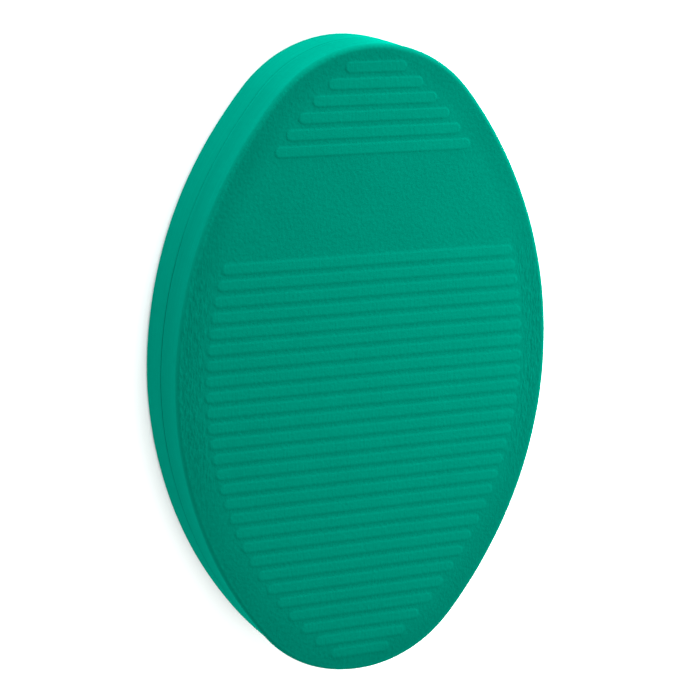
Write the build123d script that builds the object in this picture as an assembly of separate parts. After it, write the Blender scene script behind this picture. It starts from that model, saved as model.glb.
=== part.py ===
from build123d import *
import math
import os

# Balance pad: an oval slab of closed-cell foam to stand, kneel or step on.
# Two moulded halves are bonded face to face at half the thickness. Each half is a foam core
# under a dense moulded skin, and the skin carries rows of low non-slip ribs.
# X is across the pad, Y along it and Z through it; it rests on its lower ribs at Z = 0.
# All sizes are in millimetres.

# overall size
PAD_LENGTH = 408.0        # tip to tip at the joint between the halves
PAD_WIDTH = 255.0         # side to side at the joint between the halves
PAD_THICKNESS = 58.0      # from the lower rib crests to the upper rib crests
SIDE_RADIUS = 272.0       # long side arcs of the oval
EDGE_ROUND = 3.0          # rounding between the side wall and the face
DRAFT_ANGLE = 0.3         # degrees that each half's wall leans in, to leave its mould

# non-slip ribs
RIB_PITCH = 10.0          # rib to rib, along the pad
RIB_WIDTH = 6.6
RIB_HEIGHT = 0.4
RIB_CORNER = 3.0          # corner radius of the rib's ends
RIB_ROUND = 0.3           # rounding along the rib crest
RIB_REACH = 109.0         # from the centre line to the end of the middle rib
RIB_END_RADIUS = 248.0    # arc that the rib ends lie on
RIB_ROWS = 39             # rows that fit along the pad, counted from the +Y tip
PLAIN_ROWS = range(6, 12)  # rows left out, where the face has a plain band

# layers
SKIN = 1.5                # moulded skin
FILM = 0.6                # adhesive film between the halves
JOINT_CHAMFER = 0.8       # chamfer round each half at the joint, which leaves a shallow groove
BEAD_SETBACK = 0.6        # from the widest outline in to the bead in that groove
BEAD_DEPTH = 1.6          # width of the bead, in from its outer edge

# derived sizes
HALF_WIDTH = PAD_WIDTH / 2
HALF_LENGTH = PAD_LENGTH / 2
SIDE_CENTRE = SIDE_RADIUS - HALF_WIDTH
TIP_RADIUS = (SIDE_RADIUS**2 - SIDE_CENTRE**2 - HALF_LENGTH**2) / (2 * (SIDE_RADIUS - HALF_LENGTH))
TIP_CENTRE = HALF_LENGTH - TIP_RADIUS
BLEND_ANGLE = math.atan2(TIP_CENTRE, SIDE_CENTRE)
MID_PLANE = PAD_THICKNESS / 2
HALF_HEIGHT = MID_PLANE - RIB_HEIGHT - FILM / 2


def oval(inset):
    """The pad's outline as a face: two side arcs and two tip arcs that meet smoothly."""
    side = SIDE_RADIUS - inset
    x = side * math.cos(BLEND_ANGLE) - SIDE_CENTRE
    y = side * math.sin(BLEND_ANGLE)
    flank = HALF_WIDTH - inset
    tip = HALF_LENGTH - inset
    return make_face([
        ThreePointArc((x, -y), (flank, 0), (x, y)),
        ThreePointArc((x, y), (0, tip), (-x, y)),
        ThreePointArc((-x, y), (-flank, 0), (-x, -y)),
        ThreePointArc((-x, -y), (0, -tip), (x, -y)),
    ])


def tapered_slab(inset, height, rounding):
    """An oval slab standing on XY, narrowing upward, with its top edge rounded."""
    slab = extrude(oval(inset), height, taper=DRAFT_ANGLE)
    return fillet(slab.faces().sort_by(Axis.Z)[-1].edges(), rounding)


def rib_reach(y):
    """Half the length of the rib at Y."""
    return math.sqrt(RIB_END_RADIUS**2 - y**2) - (RIB_END_RADIUS - RIB_REACH)


def rib_rows():
    """Y of every rib, leaving out the plain band."""
    middle_row = (RIB_ROWS - 1) / 2
    return [(middle_row - row) * RIB_PITCH for row in range(RIB_ROWS) if row not in PLAIN_ROWS]


def rib(y):
    """One low bar with rounded corners, standing on the face of a half."""
    bar = extrude(RectangleRounded(2 * rib_reach(y), RIB_WIDTH, RIB_CORNER), RIB_HEIGHT)
    bar = fillet(bar.faces().sort_by(Axis.Z)[-1].edges(), RIB_ROUND)
    return Pos(0, y, HALF_HEIGHT) * bar


def core():
    """Foam that fills one half inside its skin."""
    return tapered_slab(SKIN, HALF_HEIGHT - SKIN, EDGE_ROUND - SKIN)


def skin():
    """Moulded skin over the face and wall of one half, with its ribs."""
    shell = tapered_slab(0, HALF_HEIGHT, EDGE_ROUND)
    joint_edges = shell.faces().sort_by(Axis.Z)[0].edges()
    shell = chamfer(joint_edges, JOINT_CHAMFER)
    shell = shell - core()
    return shell + [rib(y) for y in rib_rows()]


def bond_film():
    """Adhesive film that holds the two halves together."""
    return extrude(oval(BEAD_SETBACK + BEAD_DEPTH), FILM)


def seam_bead():
    """Line of cured adhesive that closes the groove between the halves."""
    return extrude(oval(BEAD_SETBACK) - oval(BEAD_SETBACK + BEAD_DEPTH), FILM)


def upper(half):
    """Place a half above the film."""
    return Pos(0, 0, MID_PLANE + FILM / 2) * half


def lower(half):
    """Place a half below the film, turned over about the long axis."""
    return Pos(0, 0, MID_PLANE - FILM / 2) * Rot(0, 180, 0) * half


def in_joint(layer):
    """Place a layer between the two halves."""
    return Pos(0, 0, MID_PLANE - FILM / 2) * layer


half_core = core()
half_skin = skin()

parts = {
    "upper_skin": upper(half_skin),
    "upper_core": upper(half_core),
    "bond_film": in_joint(bond_film()),
    "seam_bead": in_joint(seam_bead()),
    "lower_core": lower(half_core),
    "lower_skin": lower(half_skin),
}

os.makedirs("parts", exist_ok=True)
for name, shape in parts.items():
    export_step(shape, f"parts/{name}.step")
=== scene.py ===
import math

import bmesh
import bpy
import numpy as np
from mathutils import Matrix, Vector, noise
from mathutils.geometry import delaunay_2d_cdt


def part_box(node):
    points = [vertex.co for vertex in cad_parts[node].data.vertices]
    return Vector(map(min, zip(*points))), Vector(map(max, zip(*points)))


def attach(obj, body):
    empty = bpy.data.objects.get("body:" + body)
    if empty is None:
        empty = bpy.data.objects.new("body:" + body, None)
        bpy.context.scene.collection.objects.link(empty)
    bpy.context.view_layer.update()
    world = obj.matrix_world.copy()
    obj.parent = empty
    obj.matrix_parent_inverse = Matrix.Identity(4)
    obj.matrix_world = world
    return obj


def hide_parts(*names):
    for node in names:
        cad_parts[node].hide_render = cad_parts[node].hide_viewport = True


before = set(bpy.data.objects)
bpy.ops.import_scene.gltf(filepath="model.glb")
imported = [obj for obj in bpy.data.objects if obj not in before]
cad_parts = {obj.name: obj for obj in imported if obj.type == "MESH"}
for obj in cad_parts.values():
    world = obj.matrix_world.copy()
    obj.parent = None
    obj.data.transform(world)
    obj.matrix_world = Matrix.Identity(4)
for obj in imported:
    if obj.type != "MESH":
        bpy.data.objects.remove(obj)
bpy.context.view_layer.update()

# An oval foam balance pad lying on a pale floor. The moulded skins, their ribs and the foam
# inside are rebuilt here in the space that the frame gives them. Everything is in metres.

MM = 0.001

# places that the frame gives
skin_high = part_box("upper_skin")[1]
film_low, film_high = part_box("bond_film")
HALF_WIDTH = skin_high.x
HALF_LENGTH = skin_high.y
MID_PLANE = (film_low.z + film_high.z) / 2
HALF_FILM = (film_high.z - film_low.z) / 2

# the oval: two side arcs and two tip arcs that meet smoothly
SIDE_RADIUS = 272 * MM
SIDE_CENTRE = SIDE_RADIUS - HALF_WIDTH
TIP_RADIUS = (SIDE_RADIUS**2 - SIDE_CENTRE**2 - HALF_LENGTH**2) / (2 * (SIDE_RADIUS - HALF_LENGTH))
TIP_CENTRE = HALF_LENGTH - TIP_RADIUS
BLEND_ANGLE = math.atan2(TIP_CENTRE, SIDE_CENTRE)

# ribs
RIB_PITCH = 10 * MM             # rib to rib, along the pad
RIB_HALF_WIDTH = 3.3 * MM       # at half its height
RIB_HEIGHT = 0.4 * MM
RIB_CORNER = 3.2 * MM           # corner radius of the rib's ends
RIB_SLOPE = 2.5 * MM            # width of the soft slope from the rib's foot to its crest
TIP_RIB_SLOPE = 1.8 * MM        # the same, on the rows beside the +Y tip
RIB_REACH = 109 * MM            # from the centre line to the end of the middle rib
RIB_END_RADIUS = 248 * MM       # arc that the rib ends lie on
RIB_ROWS = 39                   # rows that fit along the pad, counted from the +Y tip
PLAIN_ROWS = range(6, 12)       # rows left out, where the face has a plain band

# section of a half: its wall, its edge and its skin
SKIN = 1.5 * MM
UPPER_HOLLOW = 0.3 * MM         # how far the upper half's wall sinks between its joint and its edge
LOWER_HOLLOW = -0.2 * MM        # the lower half's wall stands out instead
EDGE_ROUND = 3 * MM
JOINT_ROUND = 0.4 * MM          # rounding at the joint, which leaves a shallow groove
FACE_Z = skin_high.z - MID_PLANE - RIB_HEIGHT   # height of the flat face over the joint plane

# bead: its sizes where it is thin and where it is full, and the places along the pad between which it grows
BEAD_STRETCH = (-20 * MM, 100 * MM)
BEAD_RADIUS = (0.55 * MM, 0.70 * MM)
BEAD_UNEVENNESS = (0.08 * MM, 0)
BEAD_DEPTH = (1.65 * MM, 0.68 * MM)     # from the outline in to the middle of the bead

# spacing of the points in the meshes
OVAL_STEPS = (150, 90)          # steps along a side arc and a tip arc
RIB_STEP = 2.6 * MM             # along a rib
FACE_STEP = 3 * MM              # over the flat face
RIM_GAP = 1.6 * MM              # between the rim and the points on the face
FOOT_GAP = 0.5 * MM             # between the foot of a rib and those points

# zones of the skin, each from where it starts to where it is full
# Distances across the skin are measured outward from the outline, so they are negative inside it.
STRIP_ACROSS = (-20 * MM, -15 * MM)
STRIP_ALONG = (115 * MM, 45 * MM)
# The next band inside the rim is where the face gets painted shade, darker towards the rim.
MARGIN_SHADE = (-22 * MM, -6 * MM)
# The next two zones mark the rounded edge, which gets a painted highlight.
RIM_HIGHLIGHT = (-4 * MM, -1.5 * MM)
OVER_WALL = (FACE_Z - 5 * MM, FACE_Z - 1 * MM)
ON_FACE = (FACE_Z - 1.5 * MM, FACE_Z - 0.3 * MM)
# The crests are painted paler over this zone, which leaves painted shade in the grooves between the ribs; the
# fine streaks there are real grain.
ON_CREST = (FACE_Z + 0.2 * RIB_HEIGHT, FACE_Z + 0.9 * RIB_HEIGHT)

# colours
# The skin's tone runs between these two; its painted shade, painted highlight and the painted light on the
# lower half all move along it.
SKIN_DARK, SKIN_LIGHT = (0.0, 0.071, 0.047), (0.0, 0.108, 0.071)
CORE_DARK, CORE_LIGHT = (0.0, 0.24, 0.17), (0.02, 0.38, 0.27)
SEAM_DARK, SEAM_LIGHT = (0.0, 0.12, 0.08), (0.0, 0.14, 0.094)
FILM_DARK, FILM_LIGHT = (0.40, 0.37, 0.27), (0.55, 0.52, 0.40)
FLOOR_DARK, FLOOR_LIGHT = (0.89, 0.89, 0.89), (0.91, 0.91, 0.91)
SHEEN_TINT = (0.0, 1.0, 0.7, 1.0)


def material(name):
    """A new material, its node tree and its Principled shader."""
    made = bpy.data.materials.new(name)
    made.use_nodes = True
    return made, made.node_tree, made.node_tree.nodes["Principled BSDF"]


def add_node(tree, kind, inputs=None, **settings):
    """A shader node with its settings. inputs gives each socket a value, or a socket to link from."""
    made = tree.nodes.new(kind)
    for key, value in settings.items():
        setattr(made, key, value)
    for key, value in (inputs or {}).items():
        if isinstance(value, bpy.types.NodeSocket):
            tree.links.new(value, made.inputs[key])
        else:
            made.inputs[key].default_value = value
    return made


def object_coordinates(tree, stretch=(1, 1, 1)):
    """Object coordinates in metres, divided by stretch along each axis."""
    place = add_node(tree, "ShaderNodeTexCoord").outputs["Object"]
    scale = tuple(1 / s for s in stretch)
    return add_node(tree, "ShaderNodeMapping", {"Vector": place, "Scale": scale}).outputs["Vector"]


def fractal(tree, place, size, detail=2.0, roughness=0.5):
    """Noise from 0 to 1 whose features are about size metres."""
    inputs = {"Vector": place, "Scale": 1 / size, "Detail": detail, "Roughness": roughness}
    return add_node(tree, "ShaderNodeTexNoise", inputs).outputs["Fac"]


def ramp(tree, factor, stops):
    """A colour ramp with (position, colour) stops."""
    made = add_node(tree, "ShaderNodeValToRGB", {"Fac": factor})
    elements = made.color_ramp.elements
    while len(elements) < len(stops):
        elements.new(0.5)
    for element, (position, colour) in zip(elements, stops):
        element.position = position
        element.color = (*colour, 1)
    return made.outputs["Color"]


def bump(tree, height, distance):
    """The normal of a bump: height from 0 to 1 stands for distance metres."""
    inputs = {"Height": height, "Distance": distance, "Strength": 1.0}
    return add_node(tree, "ShaderNodeBump", inputs).outputs["Normal"]


def span(tree, value, low, high):
    """value from 0..1 to low..high."""
    inputs = {"Value": value, "To Min": low, "To Max": high}
    return add_node(tree, "ShaderNodeMapRange", inputs).outputs["Result"]


def step(tree, value, low, high):
    """0 where value is under low, 1 where it is over high, and smooth between."""
    inputs = {"Value": value, "From Min": low, "From Max": high}
    made = add_node(tree, "ShaderNodeMapRange", inputs, interpolation_type="SMOOTHSTEP")
    return made.outputs["Result"]


def math_node(tree, operation, *values):
    """The result of one math operation on values or sockets."""
    return add_node(tree, "ShaderNodeMath", dict(enumerate(values)), operation=operation).outputs[0]


def mix(tree, mask, one, two):
    """one where mask is 0, two where it is 1. Sockets 2 and 3 are the node's float inputs."""
    made = add_node(tree, "ShaderNodeMix", {"Factor": mask, 2: one, 3: two}, data_type="FLOAT")
    return made.outputs["Result"]


def total(tree, parts):
    """The sum of (weight, value) pairs."""
    result = 0.0
    for weight, value in parts:
        result = math_node(tree, "MULTIPLY_ADD", value, weight, result)
    return result


def centred(tree, parts):
    """The sum of (weight, value) pairs, where a value of 0.5 adds nothing."""
    return total(tree, parts + [(1.0, -0.5 * sum(weight for weight, value in parts))])


def past_radius(tree, one, two, radius):
    """How much longer a plane vector is than radius."""
    squares = [math_node(tree, "MULTIPLY", side, side) for side in (one, two)]
    distance = math_node(tree, "SQRT", math_node(tree, "ADD", *squares))
    return math_node(tree, "SUBTRACT", distance, radius)


def skin_zones(tree):
    """Masks over the skin: its flat face, the crests of its ribs (painted paler, leaving painted shade in the
    grooves), the strips beside its long sides, the band inside its rim (painted shade) and the rim itself
    (painted highlight)."""
    place = add_node(tree, "ShaderNodeSeparateXYZ", {"Vector": object_coordinates(tree)}).outputs
    across, along = [math_node(tree, "ABSOLUTE", place[axis]) for axis in "XY"]
    height = math_node(tree, "ABSOLUTE", math_node(tree, "SUBTRACT", place["Z"], MID_PLANE))
    past_tip_centre = math_node(tree, "SUBTRACT", along, TIP_CENTRE)
    past_side = past_radius(tree, math_node(tree, "ADD", across, SIDE_CENTRE), along, SIDE_RADIUS)
    past_tip = past_radius(tree, across, past_tip_centre, TIP_RADIUS)
    slant = total(tree, [(math.cos(BLEND_ANGLE), past_tip_centre), (-math.sin(BLEND_ANGLE), across)])
    beside_tip = math_node(tree, "GREATER_THAN", slant, 0.0)
    past_outline = mix(tree, beside_tip, past_side, past_tip)
    face = step(tree, height, *ON_FACE)
    crest = step(tree, height, *ON_CREST)
    strip = math_node(tree, "MULTIPLY", step(tree, past_side, *STRIP_ACROSS), step(tree, along, *STRIP_ALONG))
    # Painted shade: the face gets darker towards the rim over this band.
    margin_shade = math_node(tree, "MULTIPLY", face, step(tree, past_outline, *MARGIN_SHADE))
    # Painted highlight: the rounded edge is made paler here.
    rim = math_node(tree, "MULTIPLY", step(tree, height, *OVER_WALL), step(tree, past_outline, *RIM_HIGHLIGHT))
    return face, crest, strip, margin_shade, rim


def skin_relief(tree, face, crest, strip):
    """Fine relief of the skin, about 0: a pebbly grain on the face, long wrinkles in the strips, fine streaks
    over the crests, and faint lines along the wall."""
    grain = fractal(tree, object_coordinates(tree, (1, 1.2, 1)), 2.0 * MM, detail=2, roughness=0.6)
    wrinkles = fractal(tree, object_coordinates(tree, (1, 3, 1)), 1.7 * MM, detail=2, roughness=0.6)
    streaks = fractal(tree, object_coordinates(tree, (1, 6, 1)), 1.2 * MM, detail=1)
    wall_lines = fractal(tree, object_coordinates(tree, (9, 9, 1)), 2.5 * MM, detail=2)
    plain = mix(tree, strip, centred(tree, [(0.74, grain)]), centred(tree, [(1.45, wrinkles)]))
    ribbed = centred(tree, [(0.46, grain), (0.28, streaks)])
    return mix(tree, face, centred(tree, [(0.2, wall_lines)]), mix(tree, crest, plain, ribbed))


def skin_material(name, base):
    """Teal moulded foam skin, matt, with base as its tone from 0 to 1. It is mottled, painted a little paler
    on the crests so that the grooves hold painted shade, darker inside the rim as painted shade, and paler on
    the rim as a painted highlight."""
    made, tree, shader = material(name)
    face, crest, strip, margin_shade, rim = skin_zones(tree)
    fine = skin_relief(tree, face, crest, strip)
    mottle = fractal(tree, object_coordinates(tree), 30 * MM, detail=3)
    # Painted light in this tone: the crest term makes the crests paler, leaving painted shade in the grooves;
    # the term for the band inside the rim is painted shade; the rim term is a painted highlight on the
    # rounded edge.
    parts = [(0.9, fine), (0.25, mottle), (0.26, crest), (-0.26, margin_shade), (0.65, rim), (1.0, base)]
    tone = total(tree, parts)
    colour = ramp(tree, tone, [(0.0, SKIN_DARK), (1.0, SKIN_LIGHT)])
    tree.links.new(colour, shader.inputs["Base Color"])
    tree.links.new(total(tree, [(0.25, fine), (1.0, 0.73)]), shader.inputs["Roughness"])
    tree.links.new(bump(tree, fine, 0.5 * MM), shader.inputs["Normal"])
    shader.inputs["Specular IOR Level"].default_value = 0.0
    shader.inputs["Sheen Weight"].default_value = 0.23
    shader.inputs["Sheen Roughness"].default_value = 0.5
    shader.inputs["Sheen Tint"].default_value = SHEEN_TINT
    return made


def core_material():
    """Cut closed-cell foam: paler than the skin, with small cells."""
    made, tree, shader = material("teal_cut_foam")
    cell_size = 0.9 * MM
    inputs = {"Vector": object_coordinates(tree), "Scale": 1 / cell_size}
    cells = add_node(tree, "ShaderNodeTexVoronoi", inputs).outputs["Distance"]
    colour = ramp(tree, cells, [(0.0, CORE_DARK), (0.8, CORE_LIGHT)])
    tree.links.new(colour, shader.inputs["Base Color"])
    tree.links.new(span(tree, cells, 0.95, 0.75), shader.inputs["Roughness"])
    tree.links.new(bump(tree, cells, 0.3 * MM), shader.inputs["Normal"])
    shader.inputs["Specular IOR Level"].default_value = 0.1
    return made


def adhesive_material(name, dark, light, gloss):
    """Cured adhesive, uneven in tone."""
    made, tree, shader = material(name)
    smears = fractal(tree, object_coordinates(tree), 6 * MM, detail=3)
    tree.links.new(ramp(tree, smears, [(0.3, dark), (0.7, light)]), shader.inputs["Base Color"])
    tree.links.new(span(tree, smears, 0.35, 0.6), shader.inputs["Roughness"])
    tree.links.new(bump(tree, smears, 0.1 * MM), shader.inputs["Normal"])
    shader.inputs["Specular IOR Level"].default_value = gloss
    return made


def floor_material():
    """Plain pale studio floor with a barely visible unevenness."""
    made, tree, shader = material("pale_floor")
    cloud = fractal(tree, object_coordinates(tree), 0.4)
    tree.links.new(ramp(tree, cloud, [(0.3, FLOOR_DARK), (0.7, FLOOR_LIGHT)]), shader.inputs["Base Color"])
    shader.inputs["Roughness"].default_value = 0.9
    shader.inputs["Specular IOR Level"].default_value = 0.0
    return made


def oval_samples(side_steps, tip_steps):
    """Points round the oval, anticlockwise from the right, and the outward direction at each."""
    side = np.linspace(-BLEND_ANGLE, BLEND_ANGLE, side_steps, endpoint=False)
    tip = np.linspace(BLEND_ANGLE, math.pi - BLEND_ANGLE, tip_steps, endpoint=False)
    angles = np.concatenate([side, tip, side + math.pi, tip + math.pi])
    outward = np.c_[np.cos(angles), np.sin(angles)]
    centres = np.vstack([
        np.tile((-SIDE_CENTRE, 0), (side_steps, 1)),
        np.tile((0, TIP_CENTRE), (tip_steps, 1)),
        np.tile((SIDE_CENTRE, 0), (side_steps, 1)),
        np.tile((0, -TIP_CENTRE), (tip_steps, 1)),
    ])
    radii = np.repeat([SIDE_RADIUS, TIP_RADIUS, SIDE_RADIUS, TIP_RADIUS],
                      [side_steps, tip_steps, side_steps, tip_steps])
    return centres + radii[:, None] * outward, outward


OVAL, OUTWARD = oval_samples(*OVAL_STEPS)


def oval_ring(inset, z):
    """The oval moved in by inset, at height z."""
    return np.c_[OVAL - inset * OUTWARD, np.full(len(OVAL), z)]


def rim_distance(points):
    """How far points lie inside the oval."""
    x = np.abs(points[:, 0])
    y = np.abs(points[:, 1])
    beside_tip = np.arctan2(y - TIP_CENTRE, x) > BLEND_ANGLE
    from_side = SIDE_RADIUS - np.hypot(x + SIDE_CENTRE, y)
    from_tip = TIP_RADIUS - np.hypot(x, y - TIP_CENTRE)
    return np.where(beside_tip & (y > TIP_CENTRE), from_tip, from_side)


def arc(centre, radius, start, end, steps):
    """(inset, z) points of an arc of the section. Its angles are in degrees, 0 outward and 90 up."""
    angles = np.radians(np.linspace(start, end, steps + 1))
    return [(centre[0] - radius * math.cos(a), centre[1] + radius * math.sin(a)) for a in angles]


def rib_reach(y):
    """Half the length of the rib at y."""
    return math.sqrt(RIB_END_RADIUS**2 - y**2) - (RIB_END_RADIUS - RIB_REACH)


def rib_rows():
    """y of every rib."""
    middle = (RIB_ROWS - 1) / 2
    return [(middle - row) * RIB_PITCH for row in range(RIB_ROWS) if row not in PLAIN_ROWS]


def rib_ring(y, grow, height):
    """The rib's outline at y, with rounded corners, moved out by grow."""
    end = rib_reach(y) + grow
    side = RIB_HALF_WIDTH + grow
    corner = max(RIB_CORNER + grow, 0)
    steps = max(4, round(2 * rib_reach(y) / RIB_STEP))
    along = np.linspace(corner - end, end - corner, steps, endpoint=False)
    lower = np.c_[along, np.full(steps, -side)]
    turn = np.radians(np.linspace(-90, 0, 6))
    first_corner = np.c_[end - corner + corner * np.cos(turn), corner - side + corner * np.sin(turn)]
    second_corner = first_corner[::-1] * (1, -1)
    half = np.vstack([lower, first_corner, second_corner[:-1]])
    outline = np.vstack([half, -half]) + (0, y)
    return np.c_[outline, np.full(len(outline), height)]


def rib_rings(y):
    """Rings of the rib at y, from its foot up the soft slope and in over its crest."""
    slope = TIP_RIB_SLOPE if y > TIP_CENTRE else RIB_SLOPE
    rise = np.linspace(0, 1, 9)
    grows = slope * (0.5 - rise)
    heights = FACE_Z + RIB_HEIGHT * rise * rise * (3 - 2 * rise)
    crest = [(grow, FACE_Z + RIB_HEIGHT) for grow in (-1.6 * MM, -2.5 * MM, -RIB_HALF_WIDTH)]
    return [rib_ring(y, grow, height) for grow, height in [*zip(grows, heights), *crest]]


class Surface:
    """Points and faces gathered ring by ring."""

    def __init__(self):
        self.points = []
        self.faces = []
        self.count = 0

    def add(self, points):
        """Adds points and returns their indices."""
        self.points.append(np.asarray(points, float))
        first = self.count
        self.count += len(points)
        return np.arange(first, self.count)

    def band(self, one, two):
        """Faces between two rings of equal count."""
        for i in range(len(one)):
            j = (i + 1) % len(one)
            self.faces.append((one[i], one[j], two[j], two[i]))

    def rings(self, rings):
        """Faces through a list of rings of points. Returns the first and last ring's indices."""
        indices = [self.add(ring) for ring in rings]
        for one, two in zip(indices, indices[1:]):
            self.band(one, two)
        return indices[0], indices[-1]

    def fan(self, ring, point):
        """Triangles that close a ring at a middle point."""
        middle = self.add([point])[0]
        for i in range(len(ring)):
            self.faces.append((ring[i], middle, ring[(i + 1) % len(ring)]))

    def mesh(self, name, move):
        """A smooth mesh object of the surface, its points passed through move."""
        data = bpy.data.meshes.new(name)
        faces = [tuple(map(int, face)) for face in self.faces]
        data.from_pydata(move(np.vstack(self.points)).tolist(), [], faces)
        weld(data)
        data.shade_smooth()
        made = bpy.data.objects.new(name, data)
        bpy.context.scene.collection.objects.link(made)
        return made


def weld(data):
    """Merges points that coincide, and turns all faces outward."""
    shape = bmesh.new()
    shape.from_mesh(data)
    bmesh.ops.remove_doubles(shape, verts=shape.verts, dist=0.002 * MM)
    bmesh.ops.dissolve_degenerate(shape, edges=shape.edges, dist=0.001 * MM)
    bmesh.ops.recalc_face_normals(shape, faces=shape.faces)
    shape.to_mesh(data)
    shape.free()


def scatter(spacing, clear):
    """A triangular grid of points over the face, kept where clear(points) is true."""
    across = np.arange(-HALF_WIDTH, HALF_WIDTH, spacing)
    rows = np.arange(-HALF_LENGTH, HALF_LENGTH, spacing * math.sqrt(0.75))
    grid = [np.c_[across + (k % 2) * spacing / 2, np.full(len(across), y)] for k, y in enumerate(rows)]
    points = np.vstack(grid)
    return points[clear(points)]


def rib_distance(points):
    """How far points lie outside the nearest rib."""
    nearest = np.full(len(points), HALF_LENGTH)
    for y in rib_rows():
        past_end = np.maximum(np.abs(points[:, 0]) - (rib_reach(y) - RIB_CORNER), 0)
        past_side = np.maximum(np.abs(points[:, 1] - y) - (RIB_HALF_WIDTH - RIB_CORNER), 0)
        nearest = np.minimum(nearest, np.hypot(past_end, past_side) - RIB_CORNER)
    return nearest


def fill_between(surface, rim, feet):
    """Triangles over the flat face, from the rim ring in to the feet of the ribs."""
    rim_inset = rim_distance(np.vstack(surface.points)[rim][:, :2]).mean()

    def clear(points):
        clear_of_rim = rim_distance(points) > rim_inset + RIM_GAP
        return clear_of_rim & (rib_distance(points) > RIB_SLOPE / 2 + FOOT_GAP)

    spots = scatter(FACE_STEP, clear)
    loose = surface.add(np.c_[spots, np.full(len(spots), FACE_Z)])
    loops = [rim] + feet
    chosen = np.concatenate(loops + [loose])
    flat = [Vector(p) for p in np.vstack(surface.points)[chosen][:, :2]]
    edges, owner = [], []
    for number, loop in enumerate(loops):
        start = len(owner)
        edges += [(start + i, start + (i + 1) % len(loop)) for i in range(len(loop))]
        owner += [number] * len(loop)
    owner += [0] * len(loose)
    for face in delaunay_2d_cdt(flat, edges, [], 1, 1e-9)[2]:
        owners = {owner[i] for i in face}
        inside_rib = len(owners) == 1 and 0 not in owners
        if not inside_rib:
            surface.faces.append([chosen[i] for i in face])


def wall_section(hollow, steps):
    """(inset, z) points up the wall of a half, which sinks by hollow between its joint and its edge."""
    low, high = HALF_FILM + JOINT_ROUND, FACE_Z - EDGE_ROUND
    along = np.linspace(-1, 1, steps)
    return [(hollow * (1 - t * t), (low + high) / 2 + t * (high - low) / 2) for t in along]


def half_skin(hollow):
    """Moulded skin of one half, as a closed shell standing on the joint plane, with ribs on its face."""
    surface = Surface()
    groove = arc((JOINT_ROUND, HALF_FILM + JOINT_ROUND), JOINT_ROUND, -90, 0, steps=5)
    edge = arc((EDGE_ROUND, FACE_Z - EDGE_ROUND), EDGE_ROUND, 0, 90, steps=9)
    ceiling = FACE_Z - SKIN
    inside = [(SKIN, HALF_FILM), (SKIN, ceiling - SKIN), (2 * SKIN, ceiling)]
    section = inside[::-1] + groove + wall_section(hollow, steps=13)[1:-1] + edge
    inner_ring, rim = surface.rings([oval_ring(inset, z) for inset, z in section])
    surface.fan(inner_ring, (0, 0, ceiling))
    feet = [surface.rings(rib_rings(y))[0] for y in rib_rows()]
    fill_between(surface, rim, feet)
    return surface


def half_core():
    """Foam inside one half's skin."""
    surface = Surface()
    gap = 0.05 * MM
    side = SKIN + gap
    top = FACE_Z - side
    section = [(side + 2 * MM, HALF_FILM), (side, HALF_FILM)]
    section += [(side, z) for z in np.linspace(3 * MM, top - SKIN, 6)]
    section += [(side + SKIN, top)]
    foot_ring, roof_ring = surface.rings([oval_ring(inset, z) for inset, z in section])
    surface.fan(foot_ring, (0, 0, HALF_FILM))
    surface.fan(roof_ring, (0, 0, top))
    return surface


def bead():
    """Uneven line of adhesive in the groove round the joint, fuller towards the +Y tip."""
    surface = Surface()
    radius, unevenness, centre = [np.interp(OVAL[:, 1], BEAD_STRETCH, sizes)
                                  for sizes in (BEAD_RADIUS, BEAD_UNEVENNESS, BEAD_DEPTH)]
    waves_per_metre = 60
    radius += unevenness * [noise.noise(Vector((*p, 0)) * waves_per_metre) for p in OVAL]
    rings = []
    for turn in np.radians(np.arange(0, 360, 30)):
        inset = centre - radius * math.cos(turn)
        rings.append(np.c_[OVAL - inset[:, None] * OUTWARD, radius * math.sin(turn)])
    first, last = surface.rings(rings)
    surface.band(last, first)
    return surface


def relax(points):
    """The slight unevenness of moulded foam: slow and quicker waves, weaker through the thickness."""
    moved = points.copy()
    reach = np.array((0.25, 0.25, 0.04)) * MM
    for waves_per_metre, share in ((14, 1), (55, 0.3)):
        moved += [share * reach * noise.noise_vector(Vector(p) * waves_per_metre) for p in points]
    moved[:, 2] = np.maximum(moved[:, 2], 0)
    return moved


def above(points):
    """From the joint plane up to the upper half's place."""
    return relax(points + (0, 0, MID_PLANE))


def below(points):
    """Turned over about the long axis, to the lower half's place."""
    return relax(points * (-1, 1, -1) + (0, 0, MID_PLANE))


def finish_piece(piece, node, look):
    """Gives a piece its material and its place in the frame."""
    piece.data.materials.append(look)
    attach(piece, "root")
    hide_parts(node)


def build_pad():
    """Every piece of the pad."""
    # The lower half's copy has a paler base tone than the upper's: painted light on its wall.
    upper_look, lit_lower_look = skin_material("upper_foam_skin", 0.3), skin_material("lower_foam_skin_lit", 0.5)
    core_look = core_material()
    seam_look = adhesive_material("seam_adhesive", SEAM_DARK, SEAM_LIGHT, 0.0)
    film_look = adhesive_material("film_adhesive", FILM_DARK, FILM_LIGHT, 0.5)
    core = half_core()
    foam = [
        (half_skin(UPPER_HOLLOW).mesh("upper_skin_moulding", above), "upper_skin", "ribbed_skin", upper_look),
        (half_skin(LOWER_HOLLOW).mesh("lower_skin_moulding", below), "lower_skin", "ribbed_skin", lit_lower_look),
        (core.mesh("upper_core_foam", above), "upper_core", "foam_core", core_look),
        (core.mesh("lower_core_foam", below), "lower_core", "foam_core", core_look),
    ]
    for piece, node, slot, look in foam:
        finish_piece(piece, node, look)
    finish_piece(bead().mesh("seam_bead_line", above), "seam_bead", seam_look)
    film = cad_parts["bond_film"]
    film.data.materials.clear()
    film.data.materials.append(film_look)


def build_floor():
    """Large pale floor under the pad."""
    bpy.ops.mesh.primitive_plane_add(size=8)
    floor = bpy.context.object
    floor.name = "studio_floor"
    floor.data.materials.append(floor_material())


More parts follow.
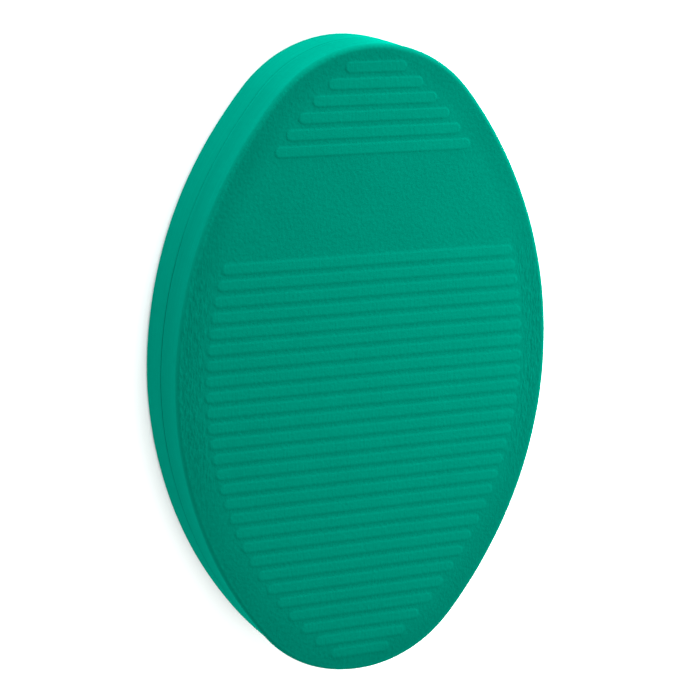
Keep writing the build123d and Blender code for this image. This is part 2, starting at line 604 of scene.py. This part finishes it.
def area_light(name, place, target, size, power, tint=(1, 1, 1)):
    """A softbox of that width and height at place that faces target."""
    data = bpy.data.lights.new(name, "AREA")
    data.shape = "RECTANGLE"
    data.size, data.size_y = size
    data.energy = power
    data.color = tint
    made = bpy.data.objects.new(name, data)
    made.location = place
    made.rotation_euler = (Vector(target) - Vector(place)).to_track_quat("-Z", "Y").to_euler()
    bpy.context.scene.collection.objects.link(made)


def build_light():
    """Bright surroundings, a low wide strip and a softbox over it beyond the +Y tip, a small near softbox on
    the +X side, a large one overhead and a weak fill on the -X side."""
    world = bpy.data.worlds.new("studio")
    world.use_nodes = True
    surroundings = world.node_tree.nodes["Background"].inputs
    surroundings["Color"].default_value = (1, 1, 1, 1)
    surroundings["Strength"].default_value = 0.75
    bpy.context.scene.world = world
    middle = (0, 0, MID_PLANE)
    area_light("low_strip", (0, 1.4, 0.25), middle, (2.2, 0.8), 61, (0.93, 0.93, 1))
    area_light("key", (0.4, 1.4, 0.5), middle, (0.8, 0.8), 13)
    area_light("near_right", (0.55, 0.2, 0.45), middle, (0.3, 0.3), 9)
    area_light("overhead", (0, -0.5, 1.6), middle, (1, 1), 17.5)
    area_light("left_fill", (-1.4, 0.2, 0.35), middle, (0.8, 0.8), 2.5)


def build_camera():
    """Long lens high on the -X, +Y side. The pad's long axis is upright in the picture."""
    azimuth, elevation, roll = math.radians(-122.2), math.radians(61.7), math.radians(-1.53)
    distance = 1.4176
    aim = Vector((-0.0125, 0.0128, skin_high.z - RIB_HEIGHT))
    back = Vector((math.sin(azimuth) * math.cos(elevation), -math.cos(azimuth) * math.cos(elevation),
                   math.sin(elevation)))
    up = (Vector((0, 1, 0)) - back.y * back).normalized()
    right = up.cross(back)
    turned = Matrix((right, up, back)).transposed() @ Matrix.Rotation(-roll, 3, "Z")
    data = bpy.data.cameras.new("camera")
    data.lens = 116.44
    data.sensor_width = 36
    made = bpy.data.objects.new("camera", data)
    made.matrix_world = Matrix.Translation(aim + back * distance) @ turned.to_4x4()
    bpy.context.scene.collection.objects.link(made)
    bpy.context.scene.camera = made


bpy.context.scene.view_settings.view_transform = "Standard"
noise.seed_set(1)     # without a seed of its own, noise_vector takes one from the clock
build_pad()
build_floor()
build_light()
build_camera()
